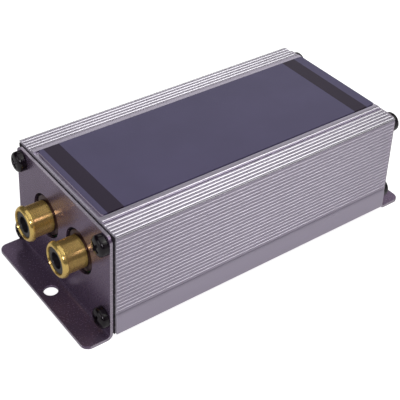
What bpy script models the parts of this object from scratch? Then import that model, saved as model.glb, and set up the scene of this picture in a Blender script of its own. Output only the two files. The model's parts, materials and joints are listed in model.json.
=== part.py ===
"""Ground loop isolator: a ribbed aluminium tube closed by two folded end plates with phono jacks.

Metres, +Z up. X runs along the tube, the input end is at -X, and the origin lies midway between
the two mounting flanges, on the surface that they stand on.
"""
import math

import bmesh
import bpy
from mathutils import Matrix

MM = 0.001

# Clearances between pieces that are seated on, or pass through, each other
SEAT_GAP = 0.1 * MM
SLIDE_GAP = 0.2 * MM
BORE_GAP = 0.25 * MM

# Extruded tube, heights measured from its own underside
BODY_LENGTH = 88.8 * MM
BODY_WIDTH = 46.2 * MM
RIB_PITCH = 1.048 * MM
SHOULDER_PITCH = 1.12 * MM
RIB_DEPTH = 0.38 * MM
RIB_SEGMENTS = 6
SIDE_RIBS = 22
SHOULDER_RIBS = 5
BEAD_RADIUS = 0.2 * MM
BAND_HEIGHT = 5.25 * MM
BAND_BEVEL = 1.0 * MM
BAND_PROUD = 0.17 * MM
BORDER_WIDTH = 1.6 * MM
BORDER_RISE = 0.95 * MM
WALL = 1.4 * MM
FLOOR_WALL = 1.5 * MM
EDGE_ROUND = 0.3 * MM

# Screw channels, with how far their round walls run into the tube's walls, and board slots
CHANNEL_WALL = 1.2 * MM
CHANNEL_SINK_SIDE = 1.03 * MM
CHANNEL_SINK_TOP = 0.76 * MM
CHANNEL_SINK_BOTTOM = 0.55 * MM
RAIL_CLEARANCE = 0.75 * MM
RAIL_THICKNESS = 1.2 * MM
RAIL_REACH = 1.6 * MM

# Folded end plates and the gaskets behind them
SHEET = 0.8 * MM
BEND_INNER = 1.0 * MM
PLATE_INSET_SIDE = 0.9 * MM
PLATE_INSET_TOP = 0.65 * MM
PLATE_CORNER = 1.8 * MM
FLANGE_REACH = 7.1 * MM
FLANGE_CORNER = 2.3 * MM
MOUNT_HOLE_RADIUS = 1.9 * MM
MOUNT_HOLE_OUT = 3.75 * MM
GASKET = 0.25 * MM
GASKET_INSET = 0.45 * MM
GASKET_DROP = 0.15 * MM

# Pan-head screws
SHANK_RADIUS = 1.4 * MM
SHANK_PLAY = 0.5 * MM
SHANK_LENGTH = 9.0 * MM
SHANK_TIP = 1.2 * MM
HEAD_RADIUS = 2.75 * MM
HEAD_HEIGHT = 2.3 * MM
HEAD_RIM = 1.2 * MM
HEAD_CROWN_RADIUS = 1.7 * MM
RECESS_SPAN = 3.2 * MM
RECESS_WIDTH = 0.9 * MM
RECESS_TIP = 0.7 * MM
RECESS_DEPTH = 1.2 * MM

# Phono jacks, their height measured from the tube's underside
JACK_SPACING = 16.0 * MM
JACK_HEIGHT = 15.8 * MM
JACK_OPENING_RADIUS = 6.05 * MM
GASKET_OPENING_EXTRA = 0.2 * MM
JACK_REACH = 6.6 * MM
BARREL_RADIUS = 4.2 * MM
BARREL_WALL = 0.5 * MM
LIP_RADIUS = 4.7 * MM
LIP_HALF_LENGTH = 0.95 * MM
COLLAR_RADIUS = 5.4 * MM
COLLAR_FRONT = 0.8 * MM
COLLAR_THICKNESS = 0.7 * MM
SHELL_TAIL = 4.0 * MM
INSERT_RECESS = 0.3 * MM
INSERT_CHAMFER = 0.3 * MM
SOCKET_RADIUS = 2.1 * MM
CONTACT_WALL = 0.3 * MM
CONTACT_RECESS = 2.1 * MM
CONTACT_TAIL = 2.0 * MM
CONTACT_FLOOR = 1.5 * MM
TAIL_WIDTH = 1.0 * MM
TAIL_THICKNESS = 0.6 * MM
HOUSING_WIDTH = 12.0 * MM
HOUSING_DEPTH = 11.9 * MM
HOUSING_RISE = 5.8 * MM

# Label sheet on the top
LABEL_THICKNESS = 0.6 * MM
LABEL_SIDE_GAP = 0.3 * MM
LABEL_INPUT_MARGIN = 1.0 * MM
LABEL_OUTPUT_MARGIN = 0.3 * MM
LABEL_CORNER = 0.8 * MM

# Circuit board
BOARD_THICKNESS = 1.6 * MM
BOARD_END_GAP = 0.3 * MM
PIN_PROTRUSION = 1.0 * MM
PIN_HOLE_EXTRA = 0.3 * MM

# Audio transformers, one for each channel
CORE_LENGTH = 18.0 * MM
CORE_WIDTH = 15.0 * MM
CORE_GAP = 2.0 * MM
CORE_STACK = 5.0 * MM
YOKE = 2.5 * MM
OUTER_LEG = 2.0 * MM
CENTRE_LEG = 4.0 * MM
BOBBIN_WALL = 0.6 * MM
BOBBIN_FLANGE = 0.8 * MM
BOBBIN_HALF_HEIGHT = 6.0 * MM
PIN_BLOCK_LENGTH = 2.0 * MM
PIN_BLOCK_HEIGHT = 3.0 * MM
PIN_RADIUS = 0.3 * MM
PIN_SEAT = 2.2 * MM
PIN_SPREAD = 3.5 * MM
WINDING_INSET = 0.3 * MM
WINDING_CORNER = 1.4 * MM

# Places that follow from the sizes above
HALF_LENGTH = BODY_LENGTH / 2
HALF_WIDTH = BODY_WIDTH / 2
SHOULDER_HEIGHT = BAND_HEIGHT + BAND_BEVEL + SIDE_RIBS * RIB_PITCH + BEAD_RADIUS + RIB_DEPTH
BORDER_OUTER = HALF_WIDTH - 2 * BEAD_RADIUS - SHOULDER_RIBS * SHOULDER_PITCH
CHANNEL_HALF_WIDTH = BORDER_OUTER - BORDER_WIDTH
CAVITY_HALF_WIDTH = HALF_WIDTH - RIB_DEPTH - WALL
CAVITY_TOP = SHOULDER_HEIGHT - RIB_DEPTH - WALL
BODY_LIFT = SHEET + BEND_INNER
PILOT_RADIUS = SHANK_RADIUS + BORE_GAP
BOSS_RADIUS = PILOT_RADIUS + CHANNEL_WALL
SCREW_Y = CAVITY_HALF_WIDTH + CHANNEL_SINK_SIDE - BOSS_RADIUS
SCREW_UPPER = CAVITY_TOP + CHANNEL_SINK_TOP - BOSS_RADIUS
SCREW_LOWER = FLOOR_WALL - CHANNEL_SINK_BOTTOM + BOSS_RADIUS
SLOT_HEIGHT = SCREW_LOWER + BOSS_RADIUS + RAIL_CLEARANCE + RAIL_THICKNESS
SLOT_WIDTH = BOARD_THICKNESS + 2 * SLIDE_GAP
BOARD_TOP = SLOT_HEIGHT + SLIDE_GAP + BOARD_THICKNESS
PLATE_BACK = 2 * SEAT_GAP + GASKET
PLATE_FRONT = PLATE_BACK + SHEET
PLATE_HALF_WIDTH = HALF_WIDTH - PLATE_INSET_SIDE
PLATE_TOP = BODY_LIFT + SHOULDER_HEIGHT - PLATE_INSET_TOP
FLANGE_EDGE = PLATE_FRONT + FLANGE_REACH
JACK_FRONT = PLATE_FRONT + JACK_REACH
JACK_Y = JACK_SPACING / 2
CONTACT_RADIUS = SOCKET_RADIUS - BORE_GAP
HOUSING_FRONT = COLLAR_FRONT - COLLAR_THICKNESS - SLIDE_GAP
TAIL_DROP = JACK_HEIGHT - SLOT_HEIGHT - SLIDE_GAP + PIN_PROTRUSION
WINDOW_HALF_LENGTH = CORE_LENGTH / 2 - YOKE
WINDOW_OUTER = CORE_WIDTH / 2 - OUTER_LEG
CORE_Y = (CORE_WIDTH + CORE_GAP) / 2
CORE_CENTRE = BOARD_TOP + BORE_GAP + BOBBIN_HALF_HEIGHT

JACK_PIECES = {"shell": "gold", "insert": "plastic", "contact": "brass", "housing": "plastic"}
PARTS = "ground_loop_isolator"
CUTTERS = "cutters"


def clear_scene():
    """Remove every object and collection that the file opened with."""
    for obj in list(bpy.data.objects):
        bpy.data.objects.remove(obj, do_unlink=True)
    for collection in list(bpy.data.collections):
        bpy.data.collections.remove(collection)
    for name in (PARTS, CUTTERS):
        bpy.context.scene.collection.children.link(bpy.data.collections.new(name))


def material(name, colour, roughness, metallic):
    """A Principled BSDF material with one colour."""
    made = bpy.data.materials.new(name)
    made.use_nodes = True
    shader = made.node_tree.nodes["Principled BSDF"]
    shader.inputs["Base Color"].default_value = (*colour, 1.0)
    shader.inputs["Roughness"].default_value = roughness
    shader.inputs["Metallic"].default_value = metallic
    made.diffuse_color = (*colour, 1.0)
    return made


def make_materials():
    """The isolator's materials, as linear colours."""
    return {
        "aluminium": material("satin_aluminium", (0.56, 0.53, 0.58), 0.34, 1.0),
        "plate": material("grey_violet_paint", (0.13, 0.10, 0.14), 0.36, 0.6),
        "label": material("label_film", (0.09, 0.08, 0.13), 0.42, 0.1),
        "gasket": material("black_rubber", (0.012, 0.010, 0.014), 0.7, 0.0),
        "screw": material("black_screw_steel", (0.018, 0.016, 0.019), 0.35, 0.7),
        "gold": material("gold_plating", (0.83, 0.60, 0.24), 0.16, 1.0),
        "plastic": material("black_plastic", (0.015, 0.014, 0.018), 0.4, 0.0),
        "brass": material("brass_contact", (0.72, 0.52, 0.22), 0.3, 1.0),
        "board": material("green_board", (0.02, 0.12, 0.05), 0.45, 0.0),
        "core": material("lamination_steel", (0.16, 0.16, 0.17), 0.5, 0.9),
        "bobbin": material("bobbin_nylon", (0.55, 0.53, 0.47), 0.5, 0.0),
        "copper": material("enamelled_copper", (0.42, 0.13, 0.04), 0.3, 0.9),
        "tin": material("tinned_wire", (0.62, 0.62, 0.6), 0.3, 1.0),
    }


def evaluated_mesh(obj):
    """The object's mesh with its modifiers applied, welded along any loose caps."""
    bpy.context.view_layer.update()
    graph = bpy.context.evaluated_depsgraph_get()
    mesh = bpy.data.meshes.new_from_object(obj.evaluated_get(graph))
    work = bmesh.new()
    work.from_mesh(mesh)
    bmesh.ops.remove_doubles(work, verts=work.verts, dist=0.001 * MM)
    work.to_mesh(mesh)
    work.free()
    return mesh


def place(name, mesh, look=None, parent=None, location=(0, 0, 0), rotation=(0, 0, 0)):
    """A named object of the given mesh, among the parts or, with no look, among the cutters."""
    obj = bpy.data.objects.new(name, mesh)
    obj.location = location
    obj.rotation_euler = rotation
    obj.parent = parent
    if look is None:
        obj.hide_render = True
        obj.display_type = "WIRE"
        bpy.data.collections[CUTTERS].objects.link(obj)
        return obj
    if not mesh.materials:
        mesh.materials.append(look)
    bpy.data.collections[PARTS].objects.link(obj)
    return obj


def smooth(mesh, degrees=35):
    """Smooth shading that keeps the edges sharper than the given angle."""
    mesh.shade_smooth()
    mesh.set_sharp_from_angle(angle=math.radians(degrees))
    return mesh


def mesh_from(work):
    """A mesh made from a bmesh, which is freed."""
    mesh = bpy.data.meshes.new("mesh")
    work.to_mesh(mesh)
    work.free()
    return mesh


def box_mesh(low, high):
    """A box between two corners."""
    work = bmesh.new()
    size = [b - a for a, b in zip(low, high)]
    centre = [(a + b) / 2 for a, b in zip(low, high)]
    scaled = Matrix.Translation(centre) @ Matrix.Diagonal((*size, 1))
    bmesh.ops.create_cube(work, size=1, matrix=scaled)
    return mesh_from(work)


def add_rod(work, radius, start, end, segments, axis="Z", centre=(0, 0)):
    """Add a closed cylinder between two places on its axis."""
    turn = Matrix.Rotation(math.pi / 2, 4, "Y") if axis == "X" else Matrix.Identity(4)
    middle = (start + end) / 2
    spot = (middle, *centre) if axis == "X" else (*centre, middle)
    bmesh.ops.create_cone(
        work, cap_ends=True, segments=segments, radius1=radius, radius2=radius,
        depth=end - start, matrix=Matrix.Translation(spot) @ turn,
    )


def outline_mesh(outlines, depth):
    """A solid of the given depth, centred on local Z, from a closed outline and its holes."""
    curve = bpy.data.curves.new("outline", "CURVE")
    curve.dimensions = "2D"
    curve.fill_mode = "BOTH"
    curve.extrude = depth / 2
    for points in outlines:
        spline = curve.splines.new("POLY")
        spline.points.add(len(points) - 1)
        for point, (x, y) in zip(spline.points, points):
            point.co = (x, y, 0, 1)
        spline.use_cyclic_u = True
    obj = bpy.data.objects.new("outline", curve)
    bpy.context.scene.collection.objects.link(obj)
    mesh = evaluated_mesh(obj)
    bpy.data.objects.remove(obj)
    return mesh


def turned_mesh(profile, steps, closed=False):
    """A turned solid about local Z; the profile of (radius, height) runs down its outer side."""
    work = bmesh.new()
    corners = [work.verts.new((radius, 0, height)) for radius, height in profile]
    for first, second in zip(corners, corners[1:]):
        work.edges.new((first, second))
    if closed:
        work.edges.new((corners[-1], corners[0]))
    obj = bpy.data.objects.new("turned", mesh_from(work))
    bpy.context.scene.collection.objects.link(obj)
    turn = obj.modifiers.new("turn", "SCREW")
    turn.steps = steps
    turn.render_steps = steps
    turn.use_merge_vertices = True
    turn.merge_threshold = 0.001 * MM
    mesh = evaluated_mesh(obj)
    bpy.data.objects.remove(obj)
    return mesh


def boolean(obj, cutter, operation="DIFFERENCE"):
    """Add a live Boolean modifier."""
    step = obj.modifiers.new(cutter.name, "BOOLEAN")
    step.operation = operation
    step.solver = "EXACT"
    step.object = cutter


def baked(mesh, changes):
    """The mesh after a list of (other mesh, Boolean operation) changes."""
    obj = place("work", mesh)
    others = [place("other", other) for other, _ in changes]
    for other, (_, operation) in zip(others, changes):
        boolean(obj, other, operation)
    result = evaluated_mesh(obj)
    for spare in [obj, *others]:
        bpy.data.objects.remove(spare)
    return result


def arc(centre, radius, start, end, segments):
    """Points along a circular arc, its angles in degrees."""
    angles = [math.radians(start + (end - start) * i / segments) for i in range(segments + 1)]
    return [(centre[0] + radius * math.cos(a), centre[1] + radius * math.sin(a)) for a in angles]


def circle(centre, radius, segments):
    """Points round a circle."""
    return arc(centre, radius, 0, 360, segments)[:-1]


def rounded_box(low, high, radius, segments=4):
    """Outline of a rectangle with round corners."""
    left, bottom = low[0] + radius, low[1] + radius
    right, top = high[0] - radius, high[1] - radius
    corners = ((right, bottom, -90), (right, top, 0), (left, top, 90), (left, bottom, 180))
    points = []
    for x, y, start in corners:
        points += arc((x, y), radius, start, start + 90, segments)
    return points


def mirrored(half):
    """A closed outline from its right half, which runs from the bottom centre to the top centre."""
    return half + [(-x, y) for x, y in reversed(half)]


def rib_arch(start, along, outward, pitch):
    """Points over one rib, from its first groove up to the one before its last groove."""
    points = []
    for i in range(RIB_SEGMENTS):
        angle = math.pi * i / RIB_SEGMENTS
        run = pitch * (1 - math.cos(angle)) / 2
        rise = RIB_DEPTH * math.sin(angle)
        points.append((
            start[0] + along[0] * run + outward[0] * rise,
            start[1] + along[1] * run + outward[1] * rise,
        ))
    return points


def tube_outer_half():
    """Right half of the tube's outer outline, from the bottom centre to the top centre."""
    face = HALF_WIDTH + BAND_PROUD
    groove = HALF_WIDTH - RIB_DEPTH
    points = [(0, 0)]
    points += arc((face - EDGE_ROUND, EDGE_ROUND), EDGE_ROUND, -90, 0, 3)
    points.append((face, BAND_HEIGHT))
    for rib in range(SIDE_RIBS):
        foot = BAND_HEIGHT + BAND_BEVEL + rib * RIB_PITCH
        points += rib_arch((groove, foot), (0, 1), (1, 0), RIB_PITCH)
    shoulder_groove = SHOULDER_HEIGHT - RIB_DEPTH
    points.append((groove, shoulder_groove - BEAD_RADIUS))
    points += arc((HALF_WIDTH - BEAD_RADIUS, shoulder_groove), BEAD_RADIUS, -90, 180, 9)[:-1]
    for rib in range(SHOULDER_RIBS):
        foot = HALF_WIDTH - 2 * BEAD_RADIUS - rib * SHOULDER_PITCH
        points += rib_arch((foot, shoulder_groove), (-1, 0), (0, 1), SHOULDER_PITCH)
    border_top = SHOULDER_HEIGHT + BORDER_RISE
    points.append((BORDER_OUTER, shoulder_groove))
    points += arc((BORDER_OUTER - EDGE_ROUND, border_top - EDGE_ROUND), EDGE_ROUND, 0, 90, 3)
    points.append((CHANNEL_HALF_WIDTH, border_top))
    points.append((CHANNEL_HALF_WIDTH, SHOULDER_HEIGHT))
    points.append((0, SHOULDER_HEIGHT))
    return points


def boss_arc(height, wall_height, upward):
    """Points round a screw channel's wall where it stands in the cavity, from side to side."""
    to_side = CAVITY_HALF_WIDTH - SCREW_Y
    to_wall = abs(wall_height - height)
    at_side = math.degrees(math.acos(to_side / BOSS_RADIUS))
    at_wall = math.degrees(math.asin(to_wall / BOSS_RADIUS))
    if upward:
        return arc((SCREW_Y, height), BOSS_RADIUS, -at_side, -180 - at_wall, 8)
    return arc((SCREW_Y, height), BOSS_RADIUS, 180 + at_wall, at_side, 8)


def cavity_half():
    """Right half of the cavity's outline, with the screw channels and the board slot."""
    wall = CAVITY_HALF_WIDTH
    lip = wall - RAIL_REACH
    slot_top = SLOT_HEIGHT + SLOT_WIDTH
    points = [(0, FLOOR_WALL)]
    points += boss_arc(SCREW_LOWER, FLOOR_WALL, False)
    points += [(wall, SLOT_HEIGHT - RAIL_THICKNESS), (lip, SLOT_HEIGHT - RAIL_THICKNESS)]
    points += [(lip, SLOT_HEIGHT), (wall, SLOT_HEIGHT), (wall, slot_top), (lip, slot_top)]
    points += [(lip, slot_top + RAIL_THICKNESS), (wall, slot_top + RAIL_THICKNESS)]
    points += boss_arc(SCREW_UPPER, CAVITY_TOP, True)
    points.append((0, CAVITY_TOP))
    return points


def without_repeats(points):
    """The outline without a point that repeats the one before it."""
    kept = []
    for point in points:
        if not kept or math.dist(point, kept[-1]) > 0.001 * MM:
            kept.append(point)
    if math.dist(kept[0], kept[-1]) < 0.001 * MM:
        kept.pop()
    return kept


def build_tube(looks):
    """The ribbed tube: one extruded section with its cavity and four screw channels."""
    outlines = [without_repeats(mirrored(tube_outer_half())), without_repeats(mirrored(cavity_half()))]
    for side in (-1, 1):
        for height in (SCREW_LOWER, SCREW_UPPER):
            outlines.append(circle((side * SCREW_Y, height), PILOT_RADIUS, 16))
    mesh = smooth(outline_mesh(outlines, BODY_LENGTH), 40)
    turn = (math.pi / 2, 0, math.pi / 2)
    place("enclosure_extrusion", mesh, looks["aluminium"], None, (0, 0, BODY_LIFT), turn)


def build_label(looks):
    """The thin printed sheet that lies in the channel along the top."""
    half_width = CHANNEL_HALF_WIDTH - LABEL_SIDE_GAP
    low = (-HALF_LENGTH + LABEL_INPUT_MARGIN, -half_width)
    high = (HALF_LENGTH - LABEL_OUTPUT_MARGIN, half_width)
    mesh = outline_mesh([rounded_box(low, high, LABEL_CORNER)], LABEL_THICKNESS)
    height = BODY_LIFT + SHOULDER_HEIGHT + SEAT_GAP + LABEL_THICKNESS / 2
    place("label_plate", mesh, looks["label"], None, (0, 0, height))


def folded_sheet():
    """The end plate's sheet, folded outward at its foot, with its four free corners rounded."""
    bend = (PLATE_FRONT + BEND_INNER, SHEET + BEND_INNER)
    section = [(PLATE_BACK, PLATE_TOP), (PLATE_FRONT, PLATE_TOP)]
    section += arc(bend, BEND_INNER, 180, 270, 5)
    section += [(FLANGE_EDGE, SHEET), (FLANGE_EDGE, 0)]
    section += arc(bend, BEND_INNER + SHEET, 270, 180, 6)
    mesh = outline_mesh([section], 2 * PLATE_HALF_WIDTH)
    work = bmesh.new()
    work.from_mesh(mesh)
    bmesh.ops.dissolve_limit(work, angle_limit=math.radians(0.5), verts=work.verts, edges=work.edges)
    bmesh.ops.rotate(work, matrix=Matrix.Rotation(math.pi / 2, 3, "X"), verts=work.verts)
    for axis, place_on_axis, radius in ((2, PLATE_TOP, PLATE_CORNER), (0, FLANGE_EDGE, FLANGE_CORNER)):
        corners = [
            edge for edge in work.edges
            if all(abs(vert.co[axis] - place_on_axis) < 0.01 * MM for vert in edge.verts)
            and abs(edge.verts[0].co.y - edge.verts[1].co.y) < 0.01 * MM
        ]
        bmesh.ops.bevel(work, geom=corners, offset=radius, segments=6, profile=0.5, affect="EDGES")
    work.to_mesh(mesh)
    work.free()
    return mesh


def screw_spots():
    """The four screw places on an end, as (y, height above the surface)."""
    heights = (BODY_LIFT + SCREW_LOWER, BODY_LIFT + SCREW_UPPER)
    return [(side * SCREW_Y, height) for height in heights for side in (-1, 1)]


def plate_cutter():
    """Every hole in an end plate: two jack openings, four screw holes and the mounting hole."""
    work = bmesh.new()
    jack_height = BODY_LIFT + JACK_HEIGHT
    for side in (-1, 1):
        add_rod(work, JACK_OPENING_RADIUS, 0, 2 * PLATE_FRONT, 48, "X", (side * JACK_Y, jack_height))
    for spot in screw_spots():
        add_rod(work, SHANK_RADIUS + SHANK_PLAY, 0, 2 * PLATE_FRONT, 20, "X", spot)
    hole_x = PLATE_FRONT + MOUNT_HOLE_OUT
    add_rod(work, MOUNT_HOLE_RADIUS, -SHEET, 2 * SHEET, 32, "Z", (hole_x, 0))
    return mesh_from(work)


def gasket_mesh():
    """The thin seal between the tube's end and its plate."""
    half = HALF_WIDTH - GASKET_INSET
    outlines = [rounded_box((-half, -GASKET_DROP), (half, SHOULDER_HEIGHT - GASKET_INSET), EDGE_ROUND, 2)]
    for side in (-1, 1):
        opening = JACK_OPENING_RADIUS + GASKET_OPENING_EXTRA
        outlines.append(circle((side * JACK_Y, JACK_HEIGHT), opening, 32))
        for height in (SCREW_LOWER, SCREW_UPPER):
            outlines.append(circle((side * SCREW_Y, height), SHANK_RADIUS + SHANK_PLAY, 16))
    return outline_mesh(outlines, GASKET)


def screw_mesh():
    """A pan-head screw along local Z, its head's underside at height 0."""
    crown = HEAD_HEIGHT - HEAD_RIM
    spread = HEAD_RADIUS - HEAD_CROWN_RADIUS
    dome = [
        (HEAD_CROWN_RADIUS + spread * math.sin(a), HEAD_RIM + crown * math.cos(a))
        for a in [math.radians(step * 30) for step in range(4)]
    ]
    profile = [(0, HEAD_HEIGHT), *dome, (HEAD_RADIUS, 0), (SHANK_RADIUS, 0)]
    profile += [(SHANK_RADIUS, SHANK_TIP - SHANK_LENGTH), (SHANK_RADIUS / 2, -SHANK_LENGTH)]
    profile.append((0, -SHANK_LENGTH))
    long, short, tip = RECESS_SPAN / 2, RECESS_WIDTH / 2, RECESS_TIP / 2
    cross = [(long, tip), (short, short), (tip, long), (-tip, long), (-short, short), (-long, tip)]
    cross += [(-x, -y) for x, y in cross]
    cutter = outline_mesh([cross], 2 * RECESS_DEPTH)
    cutter.transform(Matrix.Translation((0, 0, HEAD_HEIGHT)))
    return smooth(baked(turned_mesh(profile, 16), [(cutter, "DIFFERENCE")]))


def shell_mesh():
    """The jack's plated shell: lip, barrel, collar and the tail that sits in the housing."""
    bore = BARREL_RADIUS - BARREL_WALL
    lip = JACK_FRONT - LIP_HALF_LENGTH
    front = [math.radians(90 - 30 * step) for step in range(4)]
    rear = [math.radians(45 * step) for step in (1, 2)]
    mouth = bore + BARREL_WALL / 4
    profile = [
        (mouth + (LIP_RADIUS - mouth) * math.cos(a), lip + LIP_HALF_LENGTH * math.sin(a))
        for a in front
    ]
    profile += [
        (BARREL_RADIUS + (LIP_RADIUS - BARREL_RADIUS) * math.cos(a), lip - LIP_HALF_LENGTH * math.sin(a))
        for a in rear
    ]
    collar_back = COLLAR_FRONT - COLLAR_THICKNESS
    profile += [(BARREL_RADIUS, COLLAR_FRONT), (COLLAR_RADIUS, COLLAR_FRONT), (COLLAR_RADIUS, collar_back)]
    profile += [(BARREL_RADIUS, collar_back), (BARREL_RADIUS, -SHELL_TAIL), (bore, -SHELL_TAIL)]
    profile.append((bore, JACK_FRONT - BARREL_WALL))
    return smooth(turned_mesh(profile, 24, closed=True))


def insert_mesh():
    """The insulating insert inside the shell, with the bore that takes the centre contact."""
    outer = BARREL_RADIUS - BARREL_WALL - BORE_GAP
    front = JACK_FRONT - INSERT_RECESS
    back = BORE_GAP - SHELL_TAIL
    profile = [(outer - INSERT_CHAMFER, front), (outer, front - INSERT_CHAMFER), (outer, back)]
    profile += [(SOCKET_RADIUS, back), (SOCKET_RADIUS, front - 2 * INSERT_CHAMFER)]
    profile.append((SOCKET_RADIUS + INSERT_CHAMFER, front))
    return smooth(turned_mesh(profile, 24, closed=True))


def contact_mesh():
    """The centre contact: a sleeve closed at the back, with a tail down through the board."""
    inner = CONTACT_RADIUS - CONTACT_WALL
    front = JACK_FRONT - CONTACT_RECESS
    back = -SHELL_TAIL - CONTACT_TAIL
    inner_back = back + CONTACT_FLOOR
    profile = [(0, inner_back), (inner, inner_back), (inner, front), (CONTACT_RADIUS, front)]
    profile += [(CONTACT_RADIUS, back), (0, back)]
    centre = back + TAIL_THICKNESS
    low = (0, -TAIL_WIDTH / 2, centre - TAIL_THICKNESS / 2)
    high = (TAIL_DROP, TAIL_WIDTH / 2, centre + TAIL_THICKNESS / 2)
    return smooth(baked(turned_mesh(profile, 16), [(box_mesh(low, high), "UNION")]))


def housing_mesh():
    """The jack's moulded body, bored for the shell and the contact, slotted for the tail."""
    half = HOUSING_WIDTH / 2
    foot = JACK_HEIGHT - BOARD_TOP - SLIDE_GAP
    block = box_mesh((-HOUSING_RISE, -half, HOUSING_FRONT - HOUSING_DEPTH), (foot, half, HOUSING_FRONT))
    bore_end = -SHELL_TAIL - BORE_GAP
    contact_end = -SHELL_TAIL - CONTACT_TAIL - BORE_GAP
    narrow = CONTACT_RADIUS + BORE_GAP
    wide = BARREL_RADIUS + BORE_GAP
    bore = [(0, SHEET), (wide, SHEET), (wide, bore_end), (narrow, bore_end)]
    bore += [(narrow, contact_end), (0, contact_end)]
    slot_half = TAIL_WIDTH / 2 + BORE_GAP
    slot = box_mesh((0, -slot_half, contact_end), (2 * foot, slot_half, bore_end - BORE_GAP))
    changes = [(turned_mesh(bore, 24), "DIFFERENCE"), (slot, "DIFFERENCE")]
    return smooth(baked(block, changes))


def end_frame(name, side):
    """An empty at one end of the tube, its +X pointing out of the end."""
    frame = bpy.data.objects.new(name, None)
    frame.location = (side * HALF_LENGTH, 0, 0)
    frame.rotation_euler = (0, 0, 0 if side > 0 else math.pi)
    bpy.data.collections[PARTS].objects.link(frame)
    return frame


def build_end(looks, end, side, meshes):
    """One end: gasket, folded plate, screws and jacks, left and right as seen from outside it."""
    frame = end_frame(f"{end}_end_frame", side)
    outward = (0, math.pi / 2, 0)
    upright = (math.pi / 2, 0, math.pi / 2)
    gasket_spot = (SEAT_GAP + GASKET / 2, 0, BODY_LIFT)
    place(f"{end}_gasket", meshes["gasket"], looks["gasket"], frame, gasket_spot, upright)
    plate = place(f"{end}_end_plate", meshes["plate"], looks["plate"], frame)
    boolean(plate, place(f"{end}_plate_holes", meshes["plate_holes"], None, frame))
    for (y, height), level in zip(screw_spots(), ("lower", "lower", "upper", "upper")):
        hand = "left" if y < 0 else "right"
        spot = (PLATE_FRONT + SEAT_GAP, y, height)
        place(f"{end}_screw_{level}_{hand}", meshes["screw"], looks["screw"], frame, spot, outward)
    for y, hand in ((-JACK_Y, "left"), (JACK_Y, "right")):
        spot = (0, y, BODY_LIFT + JACK_HEIGHT)
        for piece, look in JACK_PIECES.items():
            place(f"{end}_jack_{piece}_{hand}", meshes[piece], looks[look], frame, spot, outward)


def board_cutter():
    """The holes for the jacks' tails and the transformers' pins."""
    work = bmesh.new()
    low, high = SLOT_HEIGHT - SHEET, BOARD_TOP + SHEET
    tail_x = HALF_LENGTH - SHELL_TAIL - CONTACT_TAIL + TAIL_THICKNESS
    for side_x in (-1, 1):
        for side_y in (-1, 1):
            spot = (side_x * tail_x, side_y * JACK_Y)
            add_rod(work, TAIL_WIDTH / 2 + PIN_HOLE_EXTRA, low, high, 12, "Z", spot)
    for x, y in [spot for channel in (-1, 1) for spot in pin_spots(channel)]:
        add_rod(work, PIN_RADIUS + PIN_HOLE_EXTRA, low, high, 10, "Z", (x, y))
    return mesh_from(work)


def build_board(looks):
    """The circuit board, held in the tube's side slots."""
    half_length = HALF_LENGTH - BOARD_END_GAP
    half_width = CAVITY_HALF_WIDTH - BORE_GAP
    bottom = BODY_LIFT + SLOT_HEIGHT + SLIDE_GAP
    low = (-half_length, -half_width, bottom)
    high = (half_length, half_width, bottom + BOARD_THICKNESS)
    board = place("circuit_board", box_mesh(low, high), looks["board"])
    boolean(board, place("board_holes", board_cutter(), None, None, (0, 0, BODY_LIFT)))


def pin_spots(channel):
    """The four pin places of one transformer, as (x, y)."""
    reach = WINDOW_HALF_LENGTH - BORE_GAP + PIN_BLOCK_LENGTH / 2
    centre = channel * CORE_Y
    return [(x * reach, centre + y * PIN_SPREAD) for x in (-1, 1) for y in (-1, 1)]


def core_mesh():
    """The laminated core, its middle leg along X and its stack along Z."""
    corner = (CORE_LENGTH / 2, CORE_WIDTH / 2)
    outlines = [rounded_box((-corner[0], -corner[1]), corner, EDGE_ROUND, 1)]
    for side in (-1, 1):
        edges = sorted((side * CENTRE_LEG / 2, side * WINDOW_OUTER))
        long = WINDOW_HALF_LENGTH
        outlines.append([(-long, edges[0]), (long, edges[0]), (long, edges[1]), (-long, edges[1])])
    return outline_mesh(outlines, CORE_STACK)


def bobbin_mesh():
    """The bobbin: a square tube round the middle leg, end flanges and pin blocks."""
    hole_y = CENTRE_LEG / 2 + SLIDE_GAP
    hole_z = CORE_STACK / 2 + SLIDE_GAP
    tube_y, tube_z = hole_y + BOBBIN_WALL, hole_z + BOBBIN_WALL
    long = WINDOW_HALF_LENGTH - BORE_GAP
    wide = WINDOW_OUTER - BORE_GAP
    tall = BOBBIN_HALF_HEIGHT
    block_end = long + PIN_BLOCK_LENGTH
    changes = []
    for side in (-1, 1):
        ends = sorted((side * (long - BOBBIN_FLANGE), side * long))
        flange = box_mesh((ends[0], -wide, -tall), (ends[1], wide, tall))
        ends = sorted((side * (long - BOBBIN_FLANGE / 2), side * block_end))
        block = box_mesh((ends[0], -wide, -tall), (ends[1], wide, PIN_BLOCK_HEIGHT - tall))
        changes += [(flange, "UNION"), (block, "UNION")]
    changes.append((box_mesh((-2 * long, -hole_y, -hole_z), (2 * long, hole_y, hole_z)), "DIFFERENCE"))
    work = bmesh.new()
    for x, y in pin_spots(0):
        add_rod(work, PIN_RADIUS + SLIDE_GAP, -2 * tall, PIN_SEAT - tall + SLIDE_GAP, 10, "Z", (x, y))
    changes.append((mesh_from(work), "DIFFERENCE"))
    tube = box_mesh((-long, -tube_y, -tube_z), (long, tube_y, tube_z))
    return baked(tube, changes)


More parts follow.
